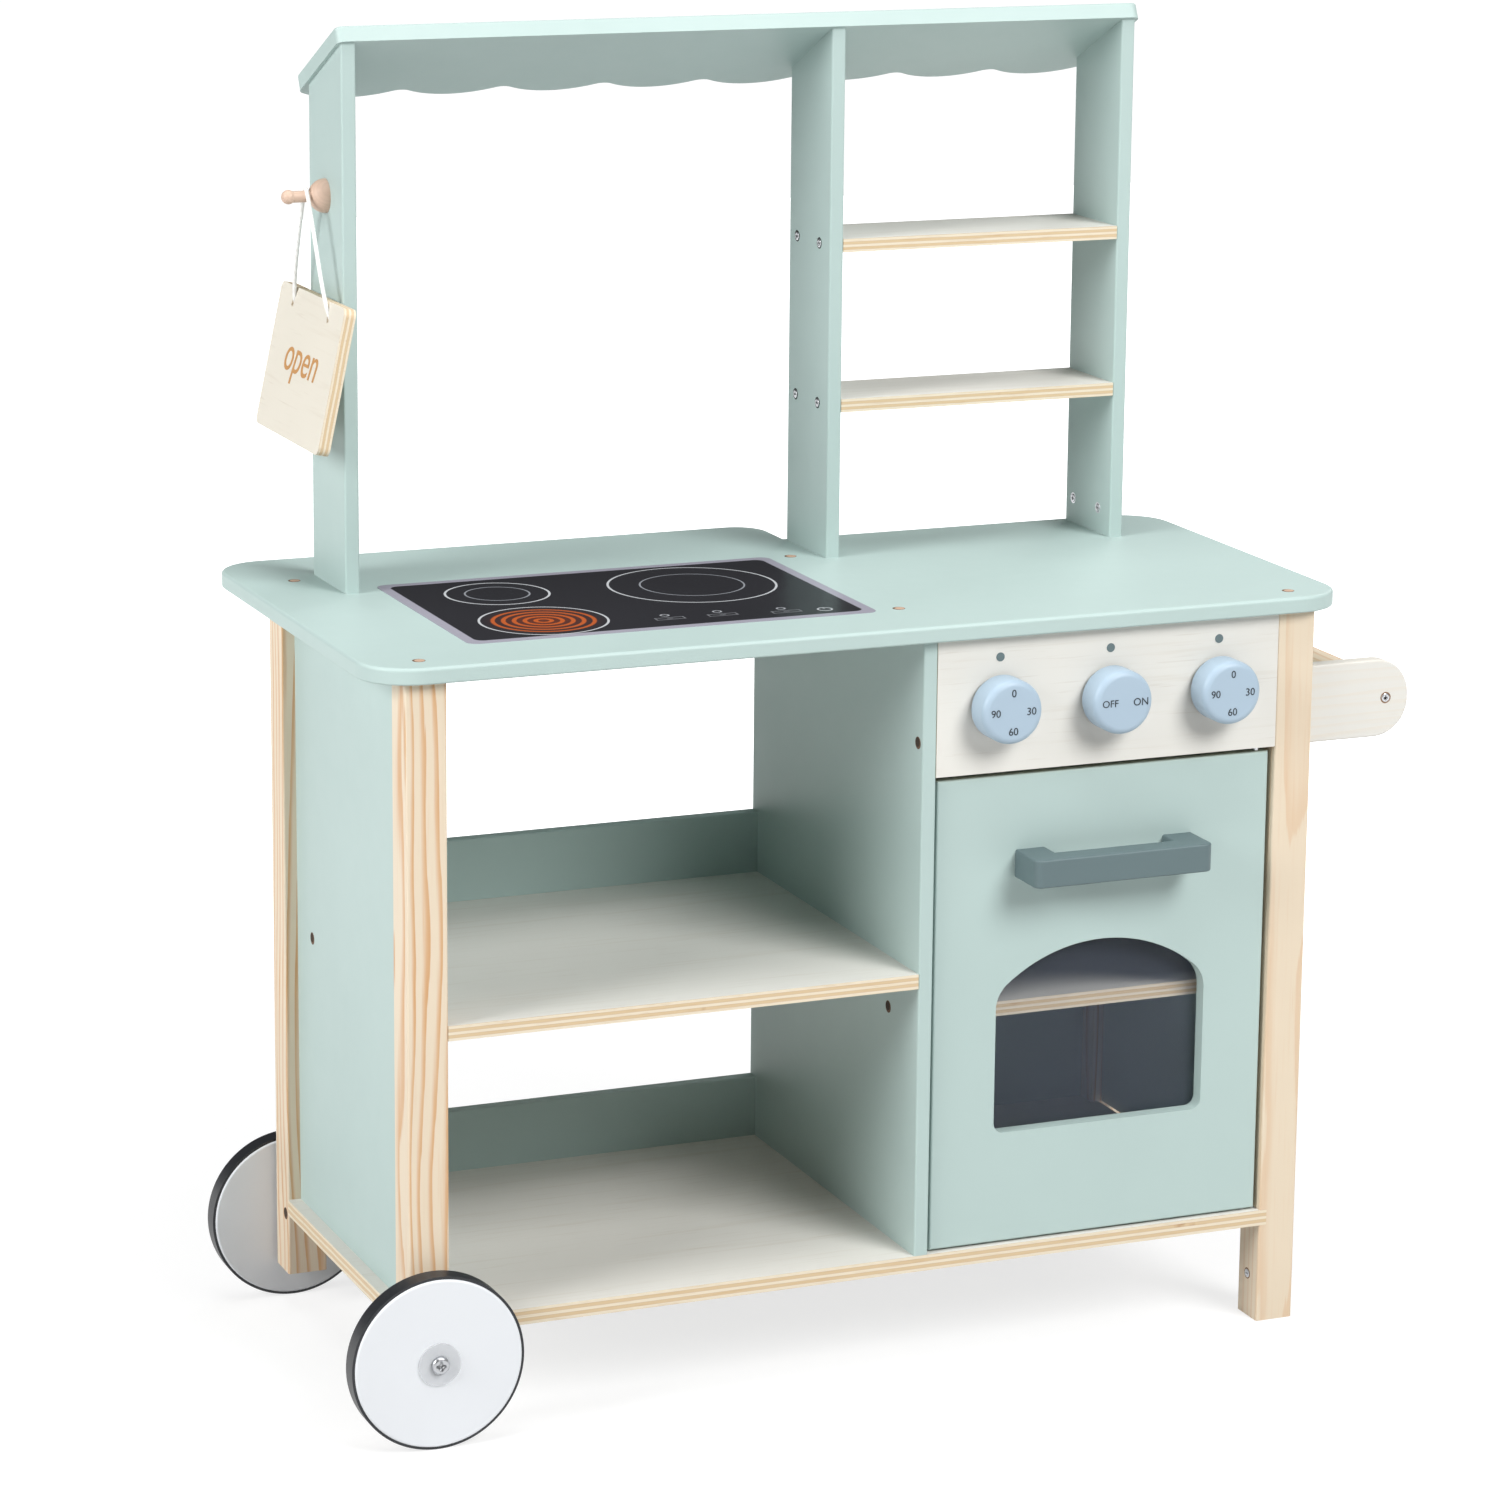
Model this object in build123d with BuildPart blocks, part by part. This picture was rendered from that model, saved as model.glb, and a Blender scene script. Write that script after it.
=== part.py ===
from build123d import *
from math import asin, atan2, cos, degrees, hypot, pi, radians, sin, tan
import os

# Play kitchen on two wheels, millimetres.
# X runs to the right, Y to the back and Z up. The origin is on the floor, under the middle of the whole.

# Stiles and boards
frame_depth = 314.0
post = 30.0
board = 12.0
panel = 11.0
shelf_board = 11.0
worktop_height = 560.0
base_height = 88.0
post_lift = 29.0
panel_inset = 10.0
divider_place = 388.0
oven_width = 274.0
housing_depth = 6.0
small_round = 1.5
fit_gap = 0.2

# Worktop and the deeper counter on its left
overhang_left = 26.0
overhang_right = 25.0
overhang_front = 9.0
overhang_rear = 8.0
counter_depth = 66.0
corner_round = 38.0
counter_round = 26.0
edge_round = 2.5
hob_width = 311.0
hob_depth = 210.0
hob_left = 64.0
hob_front = 50.0
hob_round = 8.0
hob_thick = 0.3

# Open bay and oven
middle_shelf_height = 302.0
rail_height = 48.0
oven_shelf_height = 267.0
oven_shelf_setback = 24.0

# Control panel and knobs
control_height = 101.0
knob_radius = 23.6
knob_depth = 22.0
knob_round = 5.0
knob_stand = 2.0
knob_rise = 49.0
knob_pitch = 88.0
spindle_radius = 5.0
spindle_depth_in_knob = 15.0
spindle_flange_radius = 9.0
running_gap = 0.05

# Oven door
door_setback = 4.0
door_side_gap = 3.0
door_top_gap = 4.0
door_bottom_gap = 1.5
pivot_radius = 2.5
pivot_inset = 8.0
pivot_depth = 14.0
window_width = 170.0
window_side = 50.0
window_foot = 83.5
window_side_height = 105.0
window_rise = 35.0
window_round = 8.0
window_shoulder = 24.0
pane_margin = 12.0
pane_thick = 3.0
handle_width = 143.0
handle_depth = 36.0
handle_height = 21.0
handle_bar = 19.0
handle_leg = 24.0
handle_side = 63.0
handle_drop = 77.0
handle_round = 6.0

# Uprights, canopy and upper shelves
upright_front = 240.0
upright_depth = 77.0
upright_rise = 399.0
canopy_fall = 37.0
left_upright_place = 35.5
middle_upright_place = 415.5
right_upright_inset = 49.0
upper_shelf_heights = {"top": 242.0, "bottom": 121.0}
upper_shelf_board = 10.0
canopy_overhang = 3.0
canopy_front_reach = 3.5
canopy_slope_length = 104.0
scallop_count = 8
scallop_rise = 16.0
scallop_round = 11.0
canopy_corner = 6.0

# Push handle
bracket_length = 86.0
bracket_height = 58.6
bracket_thick = 12.0
bracket_drop = 74.0
bar_place = 67.0
bar_radius = 14.0
tenon_radius = 9.0
tenon_depth = 8.0

# Wheels
disc_radius = 61.5
tyre_thick = 2.0
wheel_thick = 17.0
wheel_gap = 4.0
axle_radius = 3.0
axle_depth = 22.0
axle_head_radius = 6.5
axle_head_depth = 3.2
washer_radius = 15.5
washer_thick = 1.6
spacer_radius = 10.0

# Peg, sign and cord
peg_rise = 286.0
peg_dome_radius = 12.5
peg_dome_depth = 12.0
dome_bulge_depth = 8.4
dome_bulge_radius = 9.375
peg_shaft_radius = 4.2
peg_ball_radius = 5.2
peg_length = 28.0
sign_width = 150.0
sign_height = 107.0
sign_thick = 9.0
sign_drop = 73.0
sign_tilt = 11.9
sign_top_gap = 1.2
sign_round = 6.0
cord_radius = 1.5
cord_gap = 0.3
loop_tightness = 0.97
cord_place = 15.0
slit_spread = 42.0
slit_depth = 13.0
slit_width = 3.6

# Places that follow from the sizes
frame_width = divider_place + panel + oven_width + post
wheel_radius = disc_radius + tyre_thick
axle_height = wheel_radius
left = (wheel_radius - post / 2 - frame_width - bracket_length) / 2
right = left + frame_width
handle_reach = handle_depth - door_setback
front = (handle_reach - frame_depth - counter_depth) / 2
rear = front + frame_depth
post_top = worktop_height - board
left_panel_x = left + panel_inset
right_panel_x = right - panel_inset - panel
divider_x = left + divider_place
bay_left = left_panel_x + panel
oven_left = divider_x + panel
oven_right = right - post
rail_y = rear - panel
upright_y = front + upright_front
upright_back = upright_y + upright_depth
upright_top = worktop_height + upright_rise
peg_y = upright_y + upright_depth / 2
peg_z = worktop_height + peg_rise
control_bottom = post_top - control_height
knob_height = control_bottom + knob_rise
knob_middle_x = (oven_left + oven_right) / 2
post_middle = post / 2
door_left = oven_left + door_side_gap
door_right = oven_right - door_side_gap
door_width = door_right - door_left
door_bottom = base_height + door_bottom_gap
door_height = control_bottom - door_top_gap - door_bottom
door_y = front + door_setback
pivot_x = door_right - pivot_inset
pivot_y = door_y + panel / 2
pivot_reach = pivot_depth / 2

CORNER = (Align.MIN, Align.MIN)
UPWARD = (Align.MIN, Align.MIN, Align.MIN)

os.makedirs("parts", exist_ok=True)


def keep(piece, name):
    """Label a finished piece and write it to its own file."""
    piece.part.label = name
    export_step(piece.part, f"parts/{name}.step")


# Worktop: one board whose left part is deeper and serves as a counter
middle_upright_x = left + middle_upright_place
top_left = left - overhang_left
top_right = right + overhang_right
top_front = front - overhang_front
top_rear = rear + overhang_rear
counter_rear = rear + counter_depth
with BuildPart() as worktop:
    with BuildSketch(Plane.XY.offset(post_top)) as worktop_outline:
        with BuildLine():
            Polyline(
                (top_left, top_front),
                (top_right, top_front),
                (top_right, top_rear),
                (middle_upright_x, top_rear),
                (middle_upright_x, counter_rear),
                (top_left, counter_rear),
                close=True,
            )
        make_face()
        counter_corner = worktop_outline.vertices().sort_by_distance((middle_upright_x, counter_rear))[0]
        inner_corner = worktop_outline.vertices().sort_by_distance((middle_upright_x, top_rear))[0]
        outer = [v for v in worktop_outline.vertices() if v not in (counter_corner, inner_corner)]
        fillet(outer, corner_round)
        counter_corner = worktop_outline.vertices().sort_by_distance((middle_upright_x, counter_rear))[0]
        fillet(counter_corner, counter_round)
    extrude(amount=board)
    fillet(worktop.faces().sort_by(Axis.Z)[-1].edges(), edge_round)
    fillet(worktop.faces().sort_by(Axis.Z)[0].edges(), small_round)
keep(worktop, "worktop")

# Hob picture: a thin printed sheet on the worktop
with BuildPart() as hob_print:
    with BuildSketch(Plane.XY.offset(worktop_height)):
        with Locations((left + hob_left, front + hob_front)):
            RectangleRounded(hob_width, hob_depth, hob_round, align=CORNER)
    extrude(amount=hob_thick)
keep(hob_print, "hob_print")

# Four posts: the left pair ends above the floor, the right pair stands on it and houses the base board
board_bottom = base_height - board
for side in ("left", "right"):
    for end in ("front", "rear"):
        post_x = left if side == "left" else right - post
        post_y = front if end == "front" else rear - post
        foot = post_lift if side == "left" else 0.0
        with BuildPart() as post_piece:
            with BuildSketch(Plane.XY.offset(foot)):
                with Locations((post_x, post_y)):
                    Rectangle(post, post, align=CORNER)
            extrude(amount=post_top - foot)
            fillet(post_piece.edges().filter_by(Axis.Z), small_round)
            if side == "right":
                with Locations((post_x, post_y, board_bottom)):
                    Box(housing_depth, post, board, align=UPWARD, mode=Mode.SUBTRACT)
            else:
                drill = front if end == "front" else rear - axle_depth
                with Locations((post_x + post_middle, drill + axle_depth / 2, axle_height)):
                    Cylinder(axle_radius + running_gap, axle_depth, rotation=(90, 0, 0), mode=Mode.SUBTRACT)
        keep(post_piece, f"post_{end}_{side}")

# Base board: notched round the left posts and let into the right ones
with BuildPart() as base_board:
    with BuildSketch(Plane.XY.offset(board_bottom)):
        with Locations((left, front)):
            Rectangle(oven_right + housing_depth - left, frame_depth, align=CORNER)
        with Locations((left, front), (left, rear - post)):
            Rectangle(post, post, align=CORNER, mode=Mode.SUBTRACT)
    extrude(amount=board)
    with Locations((pivot_x, pivot_y, base_height - pivot_reach / 2)):
        Cylinder(pivot_radius, pivot_reach, mode=Mode.SUBTRACT)
keep(base_board, "base_board")

# Upright boards between the posts, and the divider beside the oven
board_rise = post_top - base_height
for name, x in (("left_side_panel", left_panel_x), ("right_side_panel", right_panel_x)):
    with BuildPart() as side_panel:
        with BuildSketch(Plane.XY.offset(base_height)):
            with Locations((x, front + post)):
                Rectangle(panel, frame_depth - 2 * post, align=CORNER)
        extrude(amount=board_rise)
    keep(side_panel, name)
with BuildPart() as divider_panel:
    with BuildSketch(Plane.XY.offset(base_height)):
        with Locations((divider_x, front)):
            Rectangle(panel, frame_depth, align=CORNER)
    extrude(amount=board_rise)
    fillet(divider_panel.edges().filter_by(Axis.Z), small_round)
keep(divider_panel, "divider_panel")

# Open bay: a shelf notched round the left posts, and two low rails at the back
with BuildPart() as middle_shelf:
    with BuildSketch(Plane.XY.offset(middle_shelf_height - shelf_board)):
        with Locations((bay_left, front)):
            Rectangle(divider_x - bay_left, frame_depth, align=CORNER)
        with Locations((left, front), (left, rear - post)):
            Rectangle(post, post, align=CORNER, mode=Mode.SUBTRACT)
    extrude(amount=shelf_board)
keep(middle_shelf, "middle_shelf")
for name, foot in (("base_rail", base_height), ("middle_rail", middle_shelf_height)):
    with BuildPart() as rail:
        with BuildSketch(Plane.XY.offset(foot)):
            with Locations((left + post, rail_y)):
                Rectangle(divider_x - left - post, panel, align=CORNER)
        extrude(amount=rail_height)
        fillet(rail.faces().sort_by(Axis.Z)[-1].edges().filter_by(Axis.X), small_round)
    keep(rail, name)

# Oven: a closed back and one shelf
with BuildPart() as oven_back_panel:
    with BuildSketch(Plane.XY.offset(base_height)):
        with Locations((oven_left, rail_y)):
            Rectangle(oven_width, panel, align=CORNER)
    extrude(amount=board_rise)
keep(oven_back_panel, "oven_back_panel")
with BuildPart() as oven_shelf:
    with BuildSketch(Plane.XY.offset(oven_shelf_height - shelf_board)):
        with Locations((oven_left, front + oven_shelf_setback)):
            Rectangle(right_panel_x - oven_left, rail_y - front - oven_shelf_setback, align=CORNER)
        with Locations((oven_right, front), (oven_right, rear - post)):
            Rectangle(post, post, align=CORNER, mode=Mode.SUBTRACT)
    extrude(amount=shelf_board)
keep(oven_shelf, "oven_shelf")

# Control panel with a bore for each spindle and one for the door's upper pin
knob_names = ("left", "centre", "right")
knob_xs = {name: knob_middle_x + (i - 1) * knob_pitch for i, name in enumerate(knob_names)}
with BuildPart() as control_panel:
    with BuildSketch(Plane.XZ.offset(-front - panel)):
        with Locations((oven_left, control_bottom)):
            Rectangle(oven_width, post_top - control_bottom, align=CORNER)
    extrude(amount=panel)
    for x in knob_xs.values():
        with Locations((x, front + panel / 2, knob_height)):
            Cylinder(spindle_radius + running_gap, panel, rotation=(90, 0, 0), mode=Mode.SUBTRACT)
    with Locations((pivot_x, pivot_y, control_bottom + pivot_reach / 2)):
        Cylinder(pivot_radius, pivot_reach, mode=Mode.SUBTRACT)
keep(control_panel, "control_panel")

# Knobs: each is a round-edged disc that turns on a spindle fixed in the panel
knob_back = front - knob_stand
for name, x in knob_xs.items():
    with BuildPart() as knob:
        with BuildSketch(Plane.XZ.offset(-knob_back)):
            with Locations((x, knob_height)):
                Circle(knob_radius)
        extrude(amount=knob_depth)
        fillet(knob.faces().sort_by(Axis.Y)[0].edges(), knob_round)
        fillet(knob.faces().sort_by(Axis.Y)[-1].edges(), small_round)
        with Locations((x, knob_back - spindle_depth_in_knob / 2, knob_height)):
            bore_radius = spindle_radius + running_gap
            Cylinder(bore_radius, spindle_depth_in_knob, rotation=(90, 0, 0), mode=Mode.SUBTRACT)
    keep(knob, f"knob_{name}")
    with BuildPart() as spindle:
        with BuildSketch(Plane.XZ.offset(-front - panel)):
            with Locations((x, knob_height)):
                Circle(spindle_radius)
        extrude(amount=panel + knob_stand + spindle_depth_in_knob - fit_gap)
        with BuildSketch(Plane.XZ.offset(-front)):
            with Locations((x, knob_height)):
                Circle(spindle_flange_radius)
        extrude(amount=knob_stand - fit_gap)
    keep(spindle, f"knob_{name}_spindle")

# Oven door with an arched window, hung on two pins near its right edge
window_left = door_left + window_side
window_right = window_left + window_width
window_bottom = door_bottom + window_foot
window_spring = window_bottom + window_side_height
window_top = window_spring + window_rise
with BuildPart() as oven_door:
    with BuildSketch(Plane.XZ.offset(-door_y - panel)):
        with Locations((door_left, door_bottom)):
            Rectangle(door_width, door_height, align=CORNER)
    extrude(amount=panel)
    fillet(oven_door.faces().sort_by(Axis.Y)[0].edges(), small_round)
    with BuildSketch(Plane.XZ.offset(-door_y - panel)) as window_outline:
        with BuildLine():
            Line((window_left, window_spring), (window_left, window_bottom))
            Line((window_left, window_bottom), (window_right, window_bottom))
            Line((window_right, window_bottom), (window_right, window_spring))
            ThreePointArc(
                (window_right, window_spring),
                ((window_left + window_right) / 2, window_top),
                (window_left, window_spring),
            )
        make_face()
        corners = window_outline.vertices().sort_by(Axis.Y)
        fillet(corners[:2], window_round)
        shoulders = window_outline.vertices().sort_by(Axis.Y)[-2:]
        fillet(shoulders, window_shoulder)
    extrude(amount=panel, mode=Mode.SUBTRACT)
    for z in (door_bottom, door_bottom + door_height - pivot_reach):
        with Locations((pivot_x, pivot_y, z + pivot_reach / 2)):
            Cylinder(pivot_radius + running_gap, pivot_reach, mode=Mode.SUBTRACT)
keep(oven_door, "oven_door")
with BuildPart() as oven_window:
    with BuildSketch(Plane.XZ.offset(-door_y - panel - pane_thick)):
        with Locations((window_left - pane_margin, window_bottom - pane_margin)):
            pane_width = window_width + 2 * pane_margin
            pane_height = window_top - window_bottom + 2 * pane_margin
            RectangleRounded(pane_width, pane_height, small_round, align=CORNER)
    extrude(amount=pane_thick)
keep(oven_window, "oven_window")
for name, low, high in (
    ("door_pivot_bottom", base_height - pivot_reach, door_bottom + pivot_reach - fit_gap),
    ("door_pivot_top", door_bottom + door_height - pivot_reach + fit_gap, control_bottom + pivot_reach),
):
    with BuildPart() as pivot_pin:
        with BuildSketch(Plane.XY.offset(low)):
            with Locations((pivot_x, pivot_y)):
                Circle(pivot_radius)
        extrude(amount=high - low)
    keep(pivot_pin, name)

# Door handle: a bar on two legs with a finger gap behind it
handle_x = door_left + handle_side
handle_bottom = door_bottom + door_height - handle_drop
with BuildPart() as door_handle:
    with BuildSketch(Plane.XY.offset(handle_bottom)) as handle_outline:
        with Locations((handle_x, door_y - handle_depth)):
            Rectangle(handle_width, handle_depth, align=CORNER)
        front_corners = handle_outline.vertices().sort_by(Axis.Y)[:2]
        fillet(front_corners, handle_round)
        with Locations((handle_x + handle_leg, door_y - handle_depth + handle_bar)):
            grip_width = handle_width - 2 * handle_leg
            grip_depth = handle_depth - handle_bar
            Rectangle(grip_width, grip_depth, align=CORNER, mode=Mode.SUBTRACT)
    extrude(amount=handle_height)
    fillet(door_handle.faces().filter_by(Axis.Z).edges().filter_by_position(
        Axis.Y, door_y - handle_depth - small_round, door_y - small_round), small_round)
keep(door_handle, "door_handle")

# Three uprights with sloping tops
right_upright_place = frame_width - right_upright_inset
upright_places = {"left": left_upright_place, "middle": middle_upright_place, "right": right_upright_place}
for name, place in upright_places.items():
    with BuildPart() as upright:
        with BuildSketch(Plane.YZ.offset(left + place)):
            with BuildLine():
                Polyline(
                    (upright_y, worktop_height),
                    (upright_back, worktop_height),
                    (upright_back, upright_top - canopy_fall),
                    (upright_y, upright_top),
                    close=True,
                )
            make_face()
        extrude(amount=panel)
        fillet(upright.edges().filter_by(Axis.Z), small_round)
    keep(upright, f"{name}_upright")

# Two small shelves between the middle and the right upright
niche_left = left + middle_upright_place + panel
niche_right = left + right_upright_place
for name, rise in upper_shelf_heights.items():
    with BuildPart() as upper_shelf:
        with BuildSketch(Plane.XY.offset(worktop_height + rise - upper_shelf_board)):
            with Locations((niche_left, upright_y)):
                Rectangle(niche_right - niche_left, upright_depth, align=CORNER)
        extrude(amount=upper_shelf_board)
    keep(upper_shelf, f"upper_shelf_{name}")

# Canopy: a sloping board whose back edge is cut in scallops
slope_run = Vector(0, upright_depth, -canopy_fall).normalized()
slope_up = Vector(0, canopy_fall, upright_depth).normalized()
canopy_x = left + left_upright_place - canopy_overhang
canopy_width = right_upright_place + panel - left_upright_place + 2 * canopy_overhang
canopy_start = Vector(canopy_x, upright_y, upright_top) - slope_run * canopy_front_reach
canopy_plane = Plane(origin=canopy_start, x_dir=(1, 0, 0), z_dir=slope_up)
scallop_pitch = canopy_width / scallop_count
with BuildPart() as canopy:
    with BuildSketch(canopy_plane):
        with BuildLine():
            Line((0, 0), (canopy_width, 0))
            Line((canopy_width, 0), (canopy_width, canopy_slope_length))
            for i in range(scallop_count, 0, -1):
                start = i * scallop_pitch
                ThreePointArc(
                    (start, canopy_slope_length),
                    (start - scallop_pitch / 2, canopy_slope_length + scallop_rise),
                    (start - scallop_pitch, canopy_slope_length),
                )
            Line((0, canopy_slope_length), (0, 0))
        make_face()
    extrude(amount=board)
    slope_up_axis = Axis(canopy_start, slope_up)
    across = canopy.edges().filter_by(slope_up_axis)
    waves = [e for e in across if e.center().Y > upright_back]
    fillet(waves, scallop_round)
    front_limit = upright_y + canopy_front_reach
    corners = [e for e in canopy.edges().filter_by(slope_up_axis) if e.center().Y < front_limit]
    fillet(corners, canopy_corner)
    fillet(canopy.faces().sort_by(slope_up_axis)[-1].edges(), small_round)
keep(canopy, "canopy")

# Push handle: two stadium brackets on the right posts with a round bar between them
bracket_round = bracket_height / 2
bracket_centre_height = post_top - bracket_drop
bracket_low = bracket_centre_height - bracket_round
bar_x = right + bar_place
bracket_front = front + post_middle - bracket_thick / 2
bracket_rear = rear - post_middle - bracket_thick / 2
for name, y in (("front", bracket_front), ("rear", bracket_rear)):
    with BuildPart() as bracket:
        with BuildSketch(Plane.XZ.offset(-y - bracket_thick)) as bracket_outline:
            with Locations((right, bracket_low)):
                Rectangle(bracket_length, bracket_height, align=CORNER)
            ends = bracket_outline.vertices().sort_by(Axis.X)[-2:]
            fillet(ends, bracket_round - small_round)
        extrude(amount=bracket_thick)
        fillet(bracket.faces().filter_by(Axis.Y).edges(), small_round)
        inner = y + bracket_thick - tenon_depth if name == "front" else y
        with Locations((bar_x, inner + tenon_depth / 2, bracket_centre_height)):
            Cylinder(tenon_radius, tenon_depth, rotation=(90, 0, 0), mode=Mode.SUBTRACT)
    keep(bracket, f"handle_bracket_{name}")
bar_start = bracket_front + bracket_thick
bar_length = bracket_rear - bar_start
with BuildPart() as handle_bar:
    with Locations((bar_x, bar_start + bar_length / 2, bracket_centre_height)):
        Cylinder(bar_radius, bar_length, rotation=(90, 0, 0))
        Cylinder(tenon_radius, bar_length + 2 * tenon_depth, rotation=(90, 0, 0))
keep(handle_bar, "handle_bar")

# Wheels: a round board with a rubber tyre, turning on a screw with a washer and a spacer
wheel_x = left + post_middle
for name, outward in (("front", -1), ("rear", 1)):
    post_face = front if name == "front" else rear
    inner_face = post_face + outward * wheel_gap
    middle = inner_face + outward * wheel_thick / 2
    with BuildPart() as disc:
        with Locations((wheel_x, middle, axle_height)):
            Cylinder(disc_radius, wheel_thick, rotation=(90, 0, 0))
        fillet(disc.edges(), small_round)
        with Locations((wheel_x, middle, axle_height)):
            Cylinder(axle_radius + running_gap, wheel_thick, rotation=(90, 0, 0), mode=Mode.SUBTRACT)
    keep(disc, f"wheel_{name}")
    with BuildPart() as tyre:
        with Locations((wheel_x, middle, axle_height)):
            Cylinder(wheel_radius, wheel_thick - 2 * small_round, rotation=(90, 0, 0))
            Cylinder(disc_radius, wheel_thick, rotation=(90, 0, 0), mode=Mode.SUBTRACT)
    keep(tyre, f"tyre_{name}")
    outer_face = inner_face + outward * wheel_thick
    washer_middle = outer_face + outward * (fit_gap + washer_thick / 2)
    with BuildPart() as washer:
        with Locations((wheel_x, washer_middle, axle_height)):
            Cylinder(washer_radius, washer_thick, rotation=(90, 0, 0))
            Cylinder(axle_radius, washer_thick, rotation=(90, 0, 0), mode=Mode.SUBTRACT)
    keep(washer, f"wheel_washer_{name}")
    spacer_thick = wheel_gap - fit_gap
    with BuildPart() as spacer:
        with Locations((wheel_x, post_face + outward * spacer_thick / 2, axle_height)):
            Cylinder(spacer_radius, spacer_thick, rotation=(90, 0, 0))
            Cylinder(axle_radius, spacer_thick, rotation=(90, 0, 0), mode=Mode.SUBTRACT)
    keep(spacer, f"wheel_spacer_{name}")
    head_seat = washer_middle + outward * washer_thick / 2
    screw_end = post_face - outward * axle_depth
    shank_length = abs(head_seat - screw_end)
    with BuildPart() as axle_screw:
        with Locations((wheel_x, (head_seat + screw_end) / 2, axle_height)):
            Cylinder(axle_radius, shank_length, rotation=(90, 0, 0))
        with Locations((wheel_x, head_seat + outward * axle_head_depth / 2, axle_height)):
            Cylinder(axle_head_radius, axle_head_depth, rotation=(90, 0, 0))
        head_edge = axle_screw.faces().sort_by(Axis.Y)[0 if outward < 0 else -1].edges()
        fillet(head_edge, axle_head_depth / 2)
    keep(axle_screw, f"axle_screw_{name}")

# Peg: one turned piece with a dome, a thin shaft and a ball end, pointing left
peg_x = left + left_upright_place
with BuildPart() as hang_peg:
    with BuildSketch(Plane.XY.offset(peg_z)):
        with BuildLine():
            peg_start = (peg_x, peg_y)
            dome_edge = (peg_x, peg_y + peg_dome_radius)
            shaft_y = peg_y + peg_shaft_radius
            dome_end = (peg_x - peg_dome_depth, shaft_y)
            ball_x = peg_x - peg_length
            neck = (ball_x + (peg_ball_radius ** 2 - peg_shaft_radius ** 2) ** 0.5, shaft_y)
            tip = (ball_x - peg_ball_radius, peg_y)
            Line(peg_start, dome_edge)
            dome_side = (peg_x - dome_bulge_depth, peg_y + dome_bulge_radius)
            ThreePointArc(dome_edge, dome_side, dome_end)
            Line(dome_end, neck)
            ThreePointArc(neck, (ball_x, peg_y + peg_ball_radius), tip)
            Line(tip, peg_start)
        make_face()
    revolve(axis=Axis((peg_x, peg_y, peg_z), (1, 0, 0)))
keep(hang_peg, "hang_peg")

# Sign: a small board that leans out at its foot, with two slits that point at the peg
sign_top = peg_z - sign_drop
lean_out = Vector(-cos(radians(sign_tilt)), 0, sin(radians(sign_tilt)))
lean_down = Vector(-sin(radians(sign_tilt)), 0, -cos(radians(sign_tilt)))
sign_back = Vector(peg_x - sign_top_gap, peg_y, sign_top)
slit_end = sign_back + lean_down * slit_depth + lean_out * (sign_thick + cord_radius / 2)
loop_radius = peg_shaft_radius + cord_gap + cord_radius
strand_drop = peg_z - slit_end.Z
strand_lean = atan2(slit_spread, strand_drop) - asin(loop_radius / hypot(slit_spread, strand_drop))
slit_length = (slit_depth + slit_width) / cos(strand_lean)
with BuildPart() as sign_board:
    with BuildSketch(Plane(origin=sign_back, x_dir=(0, 1, 0), z_dir=lean_out)):
        with Locations((-sign_width / 2, 0)):
            RectangleRounded(sign_width, sign_height, sign_round, align=CORNER)
        for way in (-1, 1):
            slit_middle = slit_spread - slit_length / 2 * sin(strand_lean)
            with Locations((way * slit_middle, slit_depth - slit_length / 2 * cos(strand_lean))):
                lean = -way * degrees(strand_lean)
                Rectangle(slit_width, slit_length + slit_width, rotation=lean, mode=Mode.SUBTRACT)
    extrude(amount=sign_thick)
keep(sign_board, "sign_board")

# Cord: a tight loop from one slit over the peg to the other
cord_x = peg_x - cord_place
loop_y = loop_radius * tan((radians(90) - strand_lean) / 2)
slit_inside = slit_end - lean_out * (sign_thick / 2)
cord_points = [
    (slit_inside.X, peg_y - slit_spread, slit_inside.Z),
    (slit_end.X, peg_y - slit_spread, slit_end.Z),
    (cord_x, peg_y - loop_y, peg_z + loop_radius),
    (cord_x, peg_y + loop_y, peg_z + loop_radius),
    (slit_end.X, peg_y + slit_spread, slit_end.Z),
    (slit_inside.X, peg_y + slit_spread, slit_inside.Z),
]
exit_radius = 2 * cord_radius
loop_bend = loop_radius * loop_tightness
with BuildPart() as sign_cord:
    with BuildLine() as cord_route:
        FilletPolyline(*cord_points, radius=[exit_radius, loop_bend, loop_bend, exit_radius])
    with BuildSketch(Plane(origin=cord_route.line @ 0, z_dir=cord_route.line % 0)):
        Circle(cord_radius)
    sweep()
keep(sign_cord, "sign_cord")
cord_length = sum(edge.length for edge in cord_route.edges())
print("cord length", round(cord_length, 1), "bends", exit_radius, round(loop_bend, 2))
print("cord volume over section times length", sign_cord.part.volume / (pi * cord_radius ** 2 * cord_length))
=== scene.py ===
import math

import bmesh
import bpy
from mathutils import Matrix, Vector


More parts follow.
